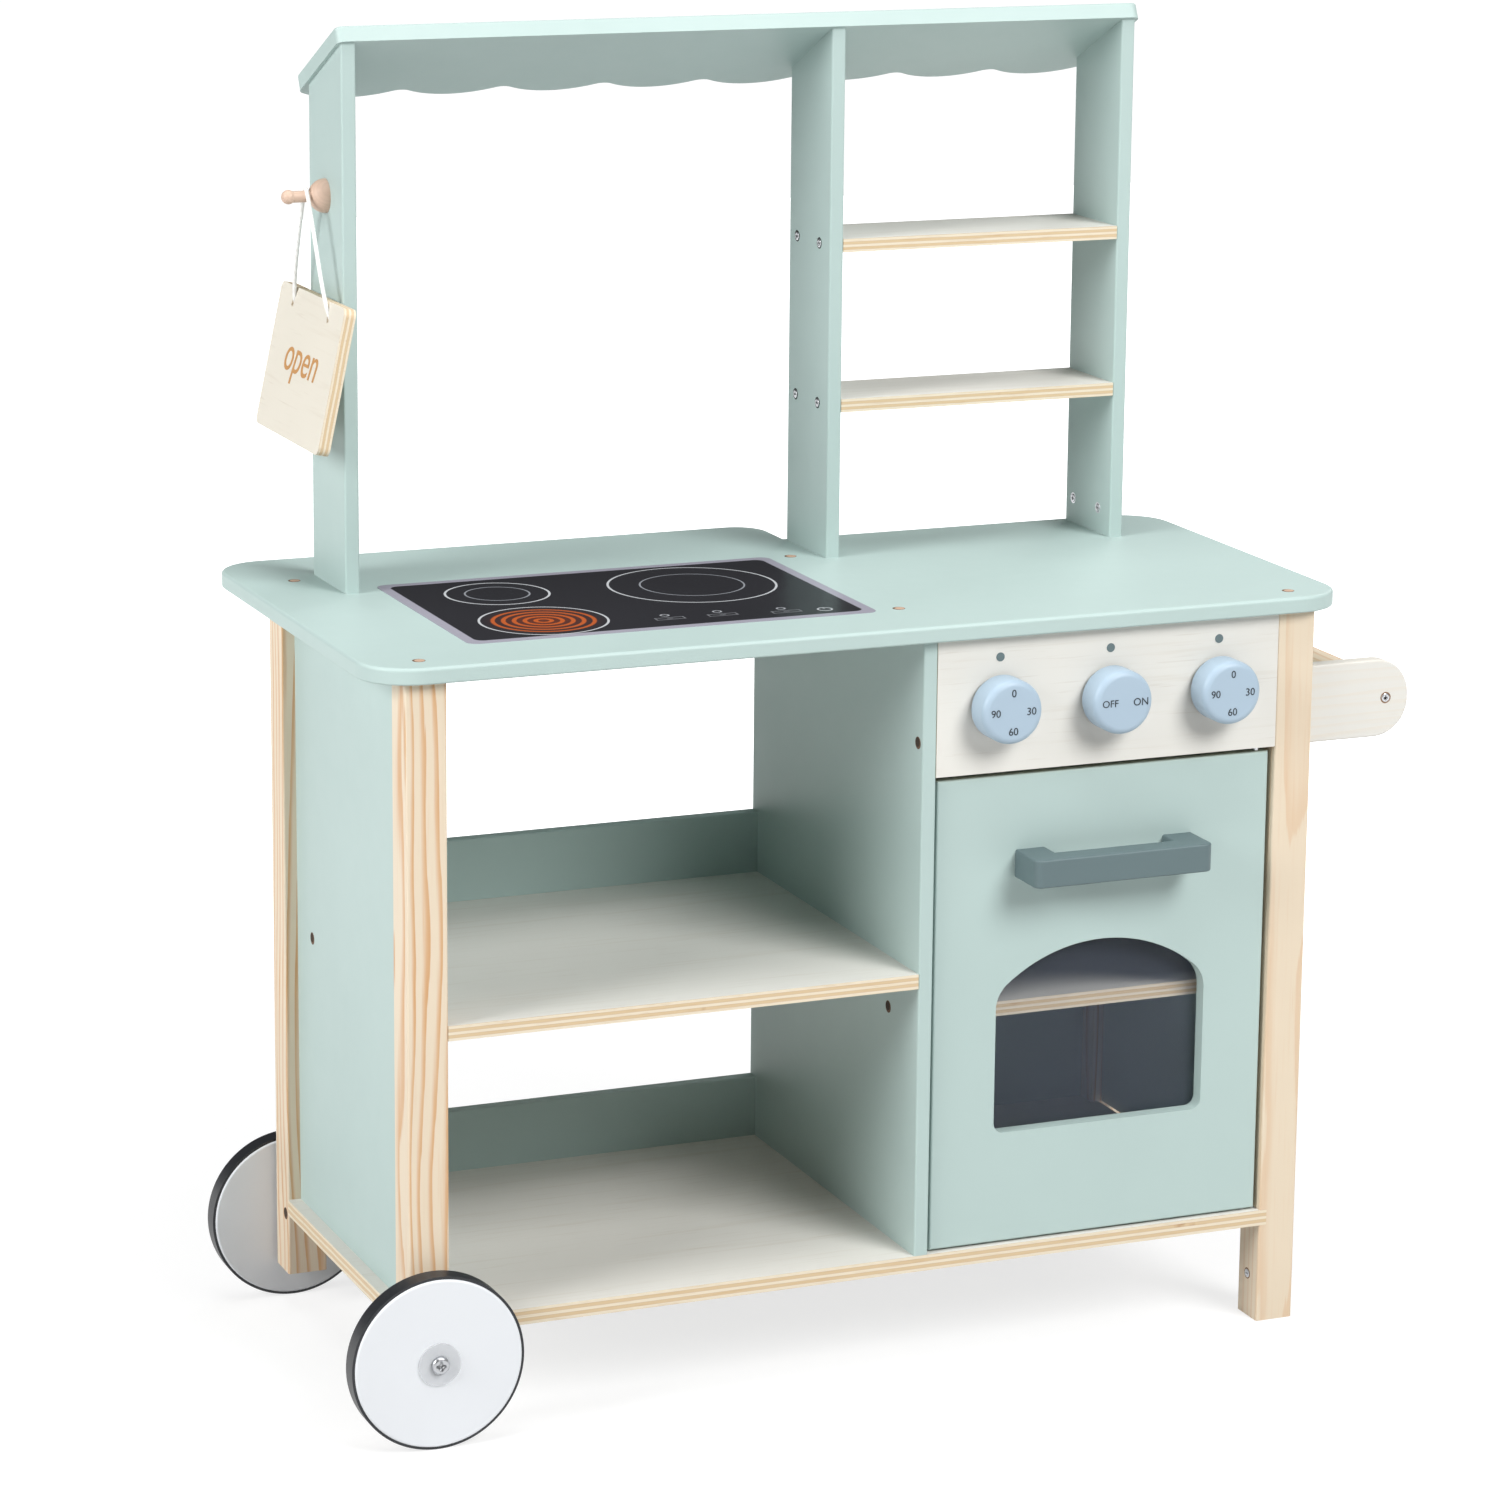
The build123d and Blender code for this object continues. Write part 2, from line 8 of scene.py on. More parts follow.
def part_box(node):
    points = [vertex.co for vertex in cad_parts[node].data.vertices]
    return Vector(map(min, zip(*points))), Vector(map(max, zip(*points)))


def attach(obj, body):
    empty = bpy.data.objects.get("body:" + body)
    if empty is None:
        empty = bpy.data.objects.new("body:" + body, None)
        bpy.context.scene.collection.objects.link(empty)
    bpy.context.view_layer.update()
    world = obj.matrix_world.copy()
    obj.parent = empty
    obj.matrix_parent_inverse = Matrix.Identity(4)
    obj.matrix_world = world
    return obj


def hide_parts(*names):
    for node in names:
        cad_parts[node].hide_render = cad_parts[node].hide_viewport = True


bl_info = {
    "name": "Play Kitchen",
    "version": (1, 0, 0),
    "blender": (4, 5, 0),
    "location": "View3D > Sidebar > Play Kitchen",
    "description": "Finishes and small fittings of a wooden play kitchen",
    "category": "Object",
}

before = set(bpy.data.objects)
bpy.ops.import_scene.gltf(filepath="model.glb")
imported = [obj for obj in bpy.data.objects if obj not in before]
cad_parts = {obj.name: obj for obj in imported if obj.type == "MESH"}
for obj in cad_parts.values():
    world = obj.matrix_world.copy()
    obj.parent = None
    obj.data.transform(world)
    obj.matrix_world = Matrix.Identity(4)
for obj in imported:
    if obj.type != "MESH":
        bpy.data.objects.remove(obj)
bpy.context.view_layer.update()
MM = 0.001

# Share of a colour as the camera shows it that the surface itself reflects
REFLECTANCE = 0.82

# Heights over the ground in millimetres
WORKTOP_LEVEL = 560
DOT_LEVEL = 532

# Directions in which fittings face
UP, TO_THE_LEFT, TO_THE_FRONT = (0, 0, 1), (-1, 0, 0), (0, -1, 0)

# The outer left and front edges of the posts, from which places are counted
left_edge, front_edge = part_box("post_front_left")[0][:2]


def srgb(red, green, blue):
    """A display colour from 0 to 255, as seen in full light, as a surface colour with alpha."""
    def linear(level):
        level = level / 255
        seen = level / 12.92 if level <= 0.04045 else ((level + 0.055) / 1.055) ** 2.4
        return seen * REFLECTANCE

    return (linear(red), linear(green), linear(blue), 1.0)


def shade(colour, factor):
    """The same colour, lighter or darker."""
    return tuple(min(1.0, level * factor) for level in colour[:3]) + (1.0,)


class Field:
    """One socket of a material, on which Python's operators add Math nodes."""

    def __init__(self, paint, socket):
        self.paint = paint
        self.socket = socket

    def _math(self, operation, *values, clamp=False):
        settings = {"operation": operation, "use_clamp": clamp}
        return self.paint.node("ShaderNodeMath", settings, *values)

    def __add__(self, other):
        return self._math("ADD", self, other)

    __radd__ = __add__

    def __sub__(self, other):
        return self._math("SUBTRACT", self, other)

    def __rsub__(self, other):
        return self._math("SUBTRACT", other, self)

    def __mul__(self, other):
        return self._math("MULTIPLY", self, other)

    __rmul__ = __mul__

    def __truediv__(self, other):
        return self._math("DIVIDE", self, other)

    def __pow__(self, other):
        return self._math("POWER", self, other)

    def __abs__(self):
        return self._math("ABSOLUTE", self)

    def fraction(self):
        """The part after the decimal point."""
        return self._math("FRACT", self)

    def root(self):
        """The square root."""
        return self._math("SQRT", self)

    def most(self, other):
        """The larger of two values."""
        return self._math("MAXIMUM", self, other)

    def held(self):
        """The value held between 0 and 1."""
        return self._math("ADD", self, 0.0, clamp=True)

    def rise(self, low, high):
        """A smooth step from 0 at low to 1 at high."""
        settings = {"interpolation_type": "SMOOTHSTEP"}
        return self.paint.node("ShaderNodeMapRange", settings, self, low, high, 0.0, 1.0)


class Paint:
    """One material and the nodes that feed its Principled shader."""

    def __init__(self, name, roughness=0.5, **fixed):
        self.material = bpy.data.materials.new(name)
        self.material.use_nodes = True
        self.tree = self.material.node_tree
        self.shader = self.tree.nodes["Principled BSDF"]
        self.shader.inputs["Roughness"].default_value = roughness
        for socket, value in fixed.items():
            self.shader.inputs[socket.replace("_", " ")].default_value = value

    def node(self, kind, settings=None, *values, out=0, **named):
        """Adds a node: settings first, then the values or links of its sockets."""
        made = self.tree.nodes.new(kind)
        for key, value in (settings or {}).items():
            setattr(made, key, value)
        for place, value in list(enumerate(values)) + list(named.items()):
            self.feed(made.inputs[place], value)
        return Field(self, made.outputs[out])

    def feed(self, socket, value):
        """Links a field to a socket, or sets the socket's own value."""
        if isinstance(value, Field):
            self.tree.links.new(value.socket, socket)
        elif value is not None:
            socket.default_value = value

    def set(self, **inputs):
        """Feeds the shader's own sockets."""
        for name, value in inputs.items():
            self.feed(self.shader.inputs[name.replace("_", " ")], value)

    def place(self, scale=(1, 1, 1)):
        """Object coordinates, stretched."""
        coordinates = self.node("ShaderNodeTexCoord", out="Object")
        return self.node("ShaderNodeMapping", {"vector_type": "POINT"}, Vector=coordinates,
                         Scale=scale)

    def drawn_out(self, along, share):
        """Object coordinates that draw a pattern out along one axis."""
        return self.place(scale=tuple(share if axis == along else 1.0 for axis in "XYZ"))

    def axes(self, vector=None):
        """The three numbers of a vector, Object coordinates if none is given."""
        vector = vector or self.node("ShaderNodeTexCoord", out="Object")
        split = self.tree.nodes.new("ShaderNodeSeparateXYZ")
        self.feed(split.inputs[0], vector)
        return [Field(self, socket) for socket in split.outputs]

    def facing(self):
        """The surface's own normal as three numbers."""
        return self.axes(self.node("ShaderNodeTexCoord", out="Normal"))

    def noise(self, vector, scale, detail=2.0, roughness=0.5, distortion=0.0):
        """Noise between 0 and 1."""
        return self.node("ShaderNodeTexNoise", {"noise_dimensions": "3D"}, Vector=vector,
                         Scale=scale, Detail=detail, Roughness=roughness, Distortion=distortion)

    def mix(self, factor, first, second):
        """A colour between two, by factor; the numbers are the Mix node's colour sockets."""
        made = self.tree.nodes.new("ShaderNodeMix")
        made.data_type = "RGBA"
        for socket, value in ((0, factor), (6, first), (7, second)):
            self.feed(made.inputs[socket], value)
        return Field(self, made.outputs[2])

    def bump(self, height, strength, distance):
        """Bump from a height field, fed to the shader's normal."""
        normal = self.node("ShaderNodeBump", {}, Strength=strength, Distance=distance,
                           Height=height)
        self.set(Normal=normal)


def painted_wood(name, colour, roughness=0.5):
    """Sprayed satin paint over board: faint cloud in the colour and a fine orange peel."""
    paint = Paint(name, roughness, Specular_IOR_Level=0.35)
    place = paint.place()
    cloud = paint.noise(place, 6.0, 3.0)
    peel = paint.noise(place, 900.0, 2.0)
    broad = paint.noise(place, 60.0, 2.0)
    paint.set(Base_Color=paint.mix(cloud, shade(colour, 0.955), shade(colour, 1.045)))
    paint.set(Roughness=roughness - 0.06 + 0.12 * broad)
    paint.bump(peel + 0.5 * broad, 0.08, 0.0004)
    return paint.material


def pine_wood(name, colour, dark, along, heart, pitch, strength):
    """Lacquered pine cut from growth rings round a heart line that runs along one axis."""
    paint = Paint(name, 0.46, Specular_IOR_Level=0.35)
    wander = paint.noise(paint.drawn_out(along, 0.13), 17.0, 2.0)
    fine = paint.noise(paint.drawn_out(along, 0.03), 420.0, 3.0, 0.6)
    cloud = paint.noise(paint.place(), 14.0, 3.0)
    parts = [part for axis, part in zip("XYZ", paint.axes()) if axis != along]
    across = ((parts[0] - heart[0]) ** 2 + (parts[1] - heart[1]) ** 2).root()
    ring = (across / pitch + 5.0 * wander + 0.3 * fine).fraction()
    late = ring.rise(0.45, 0.92) * (1 - ring.rise(0.94, 1.0))
    tone = paint.mix(cloud, shade(colour, 0.965), shade(colour, 1.03))
    tone = paint.mix((late * (0.45 + 0.5 * cloud) * strength).held(), tone, dark)
    tone = paint.mix(fine.rise(0.5, 0.85) * 0.22, tone, shade(dark, 1.05))
    paint.set(Base_Color=tone)
    paint.set(Roughness=0.42 + 0.12 * fine)
    paint.bump(fine + late * 0.4, 0.10, 0.0004)
    return paint.material


def ply_board(name, face, along, normal, thickness, face_level):
    """White-washed plywood: faint grain on its faces and bare veneers along its edges.

    The board's faces look along normal, and the lower one lies at face_level on that line.
    """
    paint = Paint(name, 0.55, Specular_IOR_Level=0.3)
    place = paint.drawn_out(along, 0.04)
    lines = paint.noise(place, 150.0, 4.0, 0.6, 0.4)
    specks = paint.noise(place, 520.0, 2.0)
    wash = paint.noise(paint.place(), 9.0, 3.0)
    tone = paint.mix(wash, shade(face, 0.965), shade(face, 1.03))
    tone = paint.mix(lines.rise(0.52, 0.72) * 0.15, tone, srgb(200, 184, 158))
    tone = paint.mix(specks.rise(0.62, 0.80) * 0.18, tone, srgb(176, 156, 128))
    x, y, z = paint.axes()
    nx, ny, nz = paint.facing()
    depth = x * normal[0] + y * normal[1] + z * normal[2] - face_level
    flat = abs(nx * normal[0] + ny * normal[1] + nz * normal[2])
    edge = 1 - flat.rise(0.55, 0.75)
    veneers = 5
    wobble = (paint.noise(place, 34.0, 3.0) - 0.5) * 0.7
    above_zero = 100.0
    level = depth / (thickness / veneers) + wobble + above_zero
    cross = (level * 0.5).fraction().rise(0.44, 0.56)
    glue = abs(level.fraction() - 0.5).rise(0.38, 0.5)
    streak = paint.noise(place, 700.0, 3.0, 0.7)
    knot = paint.noise(paint.place(), 42.0, 3.0)
    bare = paint.mix(cross, srgb(245, 232, 208), srgb(229, 203, 164))
    bare = paint.mix(streak.rise(0.5, 0.8) * 0.45, bare, srgb(206, 166, 120))
    bare = paint.mix(glue * 0.4, bare, srgb(184, 142, 98))
    bare = paint.mix(knot.rise(0.66, 0.80) * cross * 0.6, bare, srgb(168, 112, 72))
    paint.set(Base_Color=paint.mix(edge, tone, bare))
    paint.set(Roughness=0.5 + 0.12 * lines)
    paint.bump(lines + specks * 0.5, 0.10, 0.0004)
    return paint.material


def steel(name, roughness=0.28):
    """Zinc-plated steel with fine brushing."""
    paint = Paint(name, roughness, Metallic=1.0)
    scratch = paint.noise(paint.place(scale=(1, 1, 6)), 700.0, 2.0)
    paint.set(Base_Color=paint.mix(scratch, srgb(196, 198, 202), srgb(226, 228, 231)))
    paint.set(Roughness=roughness - 0.06 + 0.16 * scratch)
    return paint.material


def rubber(name):
    """Matt black tyre rubber."""
    paint = Paint(name, 0.4, Specular_IOR_Level=0.5)
    dust = paint.noise(paint.place(), 160.0, 3.0)
    paint.set(Base_Color=paint.mix(dust, srgb(34, 36, 40), srgb(46, 48, 53)))
    paint.bump(paint.noise(paint.place(), 1400.0, 2.0), 0.12, 0.0003)
    return paint.material


def clear_nylon(name):
    """Milky translucent washer plastic."""
    paint = Paint(name, 0.35, Specular_IOR_Level=0.5)
    cloud = paint.noise(paint.place(), 90.0, 2.0)
    paint.set(Base_Color=paint.mix(cloud, srgb(236, 239, 243), srgb(246, 248, 250)))
    paint.set(Alpha=0.3 + 0.08 * cloud)
    return paint.material


def tinted_pane(name):
    """Smoked acrylic: dark, glossy and see-through."""
    paint = Paint(name, 0.06, Specular_IOR_Level=0.5, IOR=1.49)
    smoke = paint.noise(paint.place(), 30.0, 2.0)
    paint.set(Base_Color=paint.mix(smoke, srgb(118, 128, 150), srgb(126, 136, 158)))
    paint.set(Alpha=0.10 + 0.03 * smoke)
    return paint.material


def woven_cord(name):
    """White braided cord that gives off a faint painted glow in its own white, so its shaded
    strand stays light.
    """
    # Emission_Strength gives the whole cord a faint painted glow.
    paint = Paint(name, 0.8, Specular_IOR_Level=0.2, Emission_Strength=0.15)
    braid = paint.node("ShaderNodeTexWave", {"wave_type": "BANDS", "bands_direction": "DIAGONAL"},
                       Vector=paint.place(), Scale=190.0, Distortion=1.5, Detail=1.0)
    white = paint.mix(braid, srgb(242, 241, 238), srgb(255, 255, 253))
    paint.set(Base_Color=white)
    # Painted glow: the emission takes the same white as the braid.
    paint.set(Emission_Color=white)
    paint.bump(braid, 0.18, 0.0003)
    return paint.material


def ink(name, colour, roughness=0.55):
    """Printed ink with slightly uneven cover."""
    paint = Paint(name, roughness)
    cover = paint.noise(paint.place(), 500.0, 2.0)
    paint.set(Base_Color=paint.mix(cover, shade(colour, 0.92), shade(colour, 1.08)))
    return paint.material


def hob_film(name):
    """The printed hob: a black glass field in a mauve border, with rings and touch marks."""
    paint = Paint(name, 0.3, Specular_IOR_Level=0.08)
    low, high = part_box("hob_print")
    x, y, _ = paint.axes()

    def inside(left, right, near, far, rounding=0.0, soft=0.0005):
        """1 inside a box with rounded corners, 0 outside."""
        out_x = (abs(x - (left + right) / 2) - ((right - left) / 2 - rounding)).most(0.0)
        out_y = (abs(y - (near + far) / 2) - ((far - near) / 2 - rounding)).most(0.0)
        return 1 - ((out_x ** 2 + out_y ** 2).root() - rounding).rise(-soft, soft)

    def distance(centre_x, centre_y):
        """Distance from a centre."""
        return ((x - centre_x) ** 2 + (y - centre_y) ** 2).root()

    def ring(away, radius, width):
        """1 on a ring of a given width, 0 off it."""
        return 1 - abs(away - radius).rise(width / 2, width / 2 + 0.0005)

    border, corner = 8 * MM, 7 * MM
    field = inside(low.x + border, high.x - border, low.y + border, high.y - border, corner)
    sweep = paint.noise(paint.place(), 5.0, 2.0)
    black = paint.mix(sweep, srgb(38, 38, 42), srgb(50, 50, 55))
    mauve = paint.mix(sweep, srgb(158, 156, 170), srgb(176, 174, 186))
    tone = paint.mix(field, mauve, black)
    burners = ((139, 105, 46, True), (284, 184, 62, False), (139, 203, 38, False))
    for centre_x, centre_y, radius, lit in burners:
        radius *= MM
        away = distance(left_edge + centre_x * MM, front_edge + centre_y * MM)
        white = ring(away, radius, 1.2 * MM)
        if lit:
            turns = (away / (radius / 6.0) + 0.25).fraction()
            inner = 1 - away.rise(radius * 0.80, radius * 0.84)
            coils = abs(turns - 0.5).rise(0.24, 0.34) * inner
            glow = (1 - away.rise(radius * 0.1, radius * 1.05)) * 0.55
            tone = paint.mix(glow.held(), tone, srgb(128, 56, 26))
            tone = paint.mix(coils * 0.62, tone, srgb(232, 112, 44))
        else:
            thin = ring(away, radius * 0.62, 0.8 * MM)
            tone = paint.mix(thin * 0.6, tone, srgb(190, 194, 202))
        tone = paint.mix(white * 0.8, tone, srgb(225, 228, 232))
    pale = srgb(205, 208, 214)
    for mark_x, mark_y in ((226, 81), (266, 80), (313, 74)):
        middle_x, middle_y = left_edge + mark_x * MM, front_edge + mark_y * MM
        pad, core, bar = (
            inside(middle_x - wide * MM, middle_x + wide * MM,
                   middle_y - deep * MM, middle_y + deep * MM)
            for wide, deep in ((11, 3.4), (10, 2.4), (2.2, 0.4)))
        tone = paint.mix(((pad - core) + bar).held() * 0.7, tone, pale)
        upper = ring(distance(middle_x, middle_y + 11 * MM), 3.0 * MM, 0.7 * MM)
        tone = paint.mix(upper * 0.7, tone, pale)
    switch_x, switch_y = left_edge + 342 * MM, front_edge + 72 * MM
    circle = ring(distance(switch_x, switch_y), 5.2 * MM, 0.8 * MM)
    stem = inside(switch_x - 0.5 * MM, switch_x + 0.5 * MM, switch_y, switch_y + 4.4 * MM)
    tone = paint.mix((circle + stem).held() * 0.8, tone, srgb(210, 213, 218))
    paint.set(Base_Color=tone)
    paint.set(Roughness=0.26 + 0.08 * sweep)
    return paint.material


def stage_floor(name):
    """Pale studio floor that shows white to the camera and keeps the shadow."""
    paint = Paint(name)
    tree = paint.tree
    tree.nodes.remove(paint.shader)
    output = tree.nodes["Material Output"]

    def plain(kind, **inputs):
        """Adds a shader node and sets or links its sockets."""
        made = tree.nodes.new(kind)
        for key, value in inputs.items():
            paint.feed(made.inputs[key], value)
        return made

    x, y, _ = paint.axes()
    away = (x ** 2 + y ** 2).root()
    lift = 0.73 + 0.6 * away.rise(0.7, 1.4)
    seen_floor = plain("ShaderNodeBsdfDiffuse", Color=(0.31, 0.31, 0.31, 1.0))
    glow = plain("ShaderNodeEmission", Strength=lift)
    both = plain("ShaderNodeAddShader")
    tree.links.new(seen_floor.outputs[0], both.inputs[0])
    tree.links.new(glow.outputs[0], both.inputs[1])
    real_floor = plain("ShaderNodeBsdfDiffuse", Color=(0.6, 0.6, 0.6, 1.0))
    rays = plain("ShaderNodeLightPath")
    camera, glossy, through = (
        Field(paint, rays.outputs[f"Is {kind} Ray"])
        for kind in ("Camera", "Glossy", "Transmission"))
    seen = camera.most(glossy).most(through)
    choice = plain("ShaderNodeMixShader", Fac=seen)
    tree.links.new(real_floor.outputs[0], choice.inputs[1])
    tree.links.new(both.outputs[0], choice.inputs[2])
    tree.links.new(choice.outputs[0], output.inputs["Surface"])
    return paint.material


def dress(material, *nodes):
    """Gives CAD nodes a material."""
    for node in nodes:
        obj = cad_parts[node]
        obj.data.materials.clear()
        obj.data.materials.append(material)


def new_piece(name, mesh, material, body):
    """Adds a finished mesh at the origin as a piece that rides on a body."""
    obj = bpy.data.objects.new(name, mesh)
    bpy.context.scene.collection.objects.link(obj)
    obj.data.materials.append(material)
    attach(obj, body)
    return obj


def shaped(name, build, material, body, smooth=False):
    """Runs a modelling function on a bmesh and adds the result as a piece."""
    mesh = bpy.data.meshes.new(name)
    bm = bmesh.new()
    build(bm)
    bmesh.ops.remove_doubles(bm, verts=bm.verts, dist=1e-6)
    bmesh.ops.recalc_face_normals(bm, faces=bm.faces)
    for face in bm.faces:
        face.smooth = smooth
    bm.to_mesh(mesh)
    bm.free()
    return new_piece(name, mesh, material, body)


def frame_at(place, axis):
    """A matrix whose Z points along axis, at place."""
    turn = Vector(axis).to_track_quat("Z", "Y")
    return Matrix.Translation(Vector(place)) @ turn.to_matrix().to_4x4()


def lettering(name, text, size, matrix, material, body, lean=0.0):
    """Plain letters as a thin mesh, placed by a matrix."""
    curve = bpy.data.curves.new(name, "FONT")
    curve.body = text
    curve.size = size
    curve.align_x = "CENTER"
    curve.align_y = "CENTER"
    curve.extrude = 0.15 * MM
    curve.shear = lean
    holder = bpy.data.objects.new(f"{name}_text", curve)
    bpy.context.scene.collection.objects.link(holder)
    bpy.context.view_layer.update()
    graph = bpy.context.evaluated_depsgraph_get()
    mesh = bpy.data.meshes.new_from_object(holder.evaluated_get(graph))
    bpy.data.objects.remove(holder)
    mesh.transform(matrix)
    mesh.materials.clear()
    mesh.name = name
    return new_piece(name, mesh, material, body)


class KitchenSizes(bpy.types.PropertyGroup):
    """Sizes of the small fittings"""
    plug_radius: bpy.props.FloatProperty(
        name="Plug radius", description="Radius of the wooden plugs and the open holes",
        default=4.6 * MM, unit="LENGTH", subtype="DISTANCE")
    screw_radius: bpy.props.FloatProperty(
        name="Screw radius", description="Radius of the counterbores of the wood screws",
        default=4.3 * MM, unit="LENGTH", subtype="DISTANCE")
    screw_height: bpy.props.FloatProperty(
        name="Screw height", description="How far a screw head stands out",
        default=0.6 * MM, unit="LENGTH", subtype="DISTANCE")
    dot_radius: bpy.props.FloatProperty(
        name="Dot radius", description="Radius of the marks above the knobs",
        default=3.3 * MM, unit="LENGTH", subtype="DISTANCE")
    cord_diameter: bpy.props.FloatProperty(
        name="Cord diameter", description="Thickness of the sign's cord",
        default=3.0 * MM, unit="LENGTH", subtype="DISTANCE")


class KitchenColours(bpy.types.PropertyGroup):
    """Colours of the kitchen"""
    mint: bpy.props.FloatVectorProperty(
        name="Mint", description="Paint of the boards", size=4, subtype="COLOR",
        default=srgb(193, 214, 210))
    pine: bpy.props.FloatVectorProperty(
        name="Pine", description="Pale wood of the posts", size=4, subtype="COLOR",
        default=srgb(241, 224, 199))
    pine_grain: bpy.props.FloatVectorProperty(
        name="Pine grain", description="Dark growth lines of the posts", size=4, subtype="COLOR",
        default=srgb(222, 172, 122))
    wash: bpy.props.FloatVectorProperty(
        name="White wash", description="Face of the white-washed boards", size=4, subtype="COLOR",
        default=srgb(238, 236, 229))
    knob: bpy.props.FloatVectorProperty(
        name="Knob blue", description="Paint of the knobs", size=4, subtype="COLOR",
        default=srgb(180, 201, 218))
    slate: bpy.props.FloatVectorProperty(
        name="Slate", description="Paint of the door's handle", size=4, subtype="COLOR",
        default=srgb(104, 123, 126))
    wheel: bpy.props.FloatVectorProperty(
        name="Wheel white", description="Paint of the wheel discs", size=4, subtype="COLOR",
        default=srgb(243, 246, 250))
    peg: bpy.props.FloatVectorProperty(
        name="Peg", description="Turned wood of the peg", size=4, subtype="COLOR",
        default=srgb(228, 197, 176))
    mark: bpy.props.FloatVectorProperty(
        name="Mark", description="Ink of the dial marks", size=4, subtype="COLOR",
        default=srgb(42, 50, 58))


class StageLevels(bpy.types.PropertyGroup):
    """Light and view"""
    left_power: bpy.props.FloatProperty(
        name="Left light", description="Power of the large soft light on the left", default=230.0,
        unit="POWER")
    front_power: bpy.props.FloatProperty(
        name="Front light", description="Power of the large soft light in front", default=322.0,
        unit="POWER")
    top_power: bpy.props.FloatProperty(
        name="Top light", description="Power of the large soft light above", default=104.0,
        unit="POWER")
    rear_power: bpy.props.FloatProperty(
        name="Rear light", description="Power of the large soft light behind", default=62.0,
        unit="POWER")
    world_level: bpy.props.FloatProperty(
        name="Surrounding light", description="Strength of the plain white surroundings",
        default=0.063)
    lens: bpy.props.FloatProperty(
        name="Lens", description="Focal length of the camera in millimetres", default=118.5)


def sizes():
    """The sizes in the sidebar."""
    return bpy.context.scene.kitchen_sizes


def colours():
    """The colours in the sidebar."""
    return bpy.context.scene.kitchen_colours


def levels():
    """The light and view in the sidebar."""
    return bpy.context.scene.kitchen_stage


def tone(name):
    """One of the sidebar's colours."""
    return tuple(getattr(colours(), name))


class KITCHEN_OT_cord(bpy.types.Operator):
    """Hangs the cord of the sign over the peg"""
    bl_idname = "kitchen.cord"
    bl_label = "Cord of the sign"

    def execute(self, context):
        route = (
            (-343.768, 62.5, 761.362), (-348.171, 62.5, 762.290), (-349.75, 100.527, 852.0),
            (-349.75, 108.473, 852.0), (-348.171, 146.5, 762.290), (-343.768, 146.5, 761.362),
        )
        curve = bpy.data.curves.new("hanging_cord", "CURVE")
        curve.dimensions = "3D"
        curve.bevel_depth = sizes().cord_diameter / 2
        curve.bevel_resolution = 5
        curve.resolution_u = 24
        curve.use_fill_caps = True
        spline = curve.splines.new("NURBS")
        spline.points.add(len(route) - 1)
        for point, place in zip(spline.points, route):
            point.co = (place[0] * MM, place[1] * MM, place[2] * MM, 1.0)
        spline.order_u = 3
        spline.use_endpoint_u = True
        piece = bpy.data.objects.new("hanging_cord", curve)
        context.scene.collection.objects.link(piece)
        curve.materials.append(woven_cord("cord_braid"))
        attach(piece, "sign")
        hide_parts("sign_cord")
        return {"FINISHED"}


class KITCHEN_OT_boards(bpy.types.Operator):
    """Paints the boards and gives the bare ones their wash and their edges"""
    bl_idname = "kitchen.boards"
    bl_label = "Boards"

    def execute(self, context):
        mint = painted_wood("mint_paint", tone("mint"))
        dress(mint, "worktop", "left_side_panel", "right_side_panel", "divider_panel",
              "base_rail", "middle_rail", "oven_back_panel", "oven_door", "left_upright",
              "middle_upright", "right_upright", "canopy")
        wash = tone("wash")
        for node in ("base_board", "middle_shelf", "oven_shelf", "upper_shelf_top",
                     "upper_shelf_bottom"):
            low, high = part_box(node)
            dress(ply_board(node + "_ply", wash, "X", (0, 0, 1), high.z - low.z, low.z), node)
        low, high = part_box("control_panel")
        panel = ply_board("control_panel_ply", shade(wash, 1.02), "X", (0, 1, 0),
                          high.y - low.y, low.y)
        dress(panel, "control_panel")
        return {"FINISHED"}


class KITCHEN_OT_timber(bpy.types.Operator):
    """Gives the posts, the push handle and the peg their wood"""
    bl_idname = "kitchen.timber"
    bl_label = "Posts, handle and peg"

    def execute(self, context):
        pine, grain, pale = tone("pine"), tone("pine_grain"), tone("wash")
        hearts = {"front_left": (-0.075, 0.012), "rear_left": (0.03, -0.06),
                  "front_right": (0.02, 0.075), "rear_right": (-0.06, -0.03)}
        for corner, (across, back) in hearts.items():
            low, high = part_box(f"post_{corner}")
            heart = ((low.x + high.x) / 2 + across, (low.y + high.y) / 2 + back)
            strength = 0.5 if corner == "front_right" else 1.25
            dress(pine_wood(f"pine_{corner}", pine, grain, "Z", heart, 6.5 * MM, strength),
                  f"post_{corner}")
        low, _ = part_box("handle_bar")
        heart = (low.y, low.z - 0.09)
        dress(pine_wood("pale_bracket", pale, shade(pine, 0.96), "X", heart, 9 * MM, 0.3),
              "handle_bracket_front", "handle_bracket_rear")
        heart = (low.x - 0.01, low.z - 0.02)
        dress(pine_wood("pine_bar", pine, grain, "Y", heart, 4 * MM, 0.7), "handle_bar")
        beech = tone("peg")
        heart = (0.0, 0.9)
        dress(pine_wood("turned_beech", beech, shade(beech, 0.8), "X", heart, 2.2 * MM, 0.4),
              "hang_peg", "knob_left_spindle", "knob_centre_spindle", "knob_right_spindle")
        return {"FINISHED"}


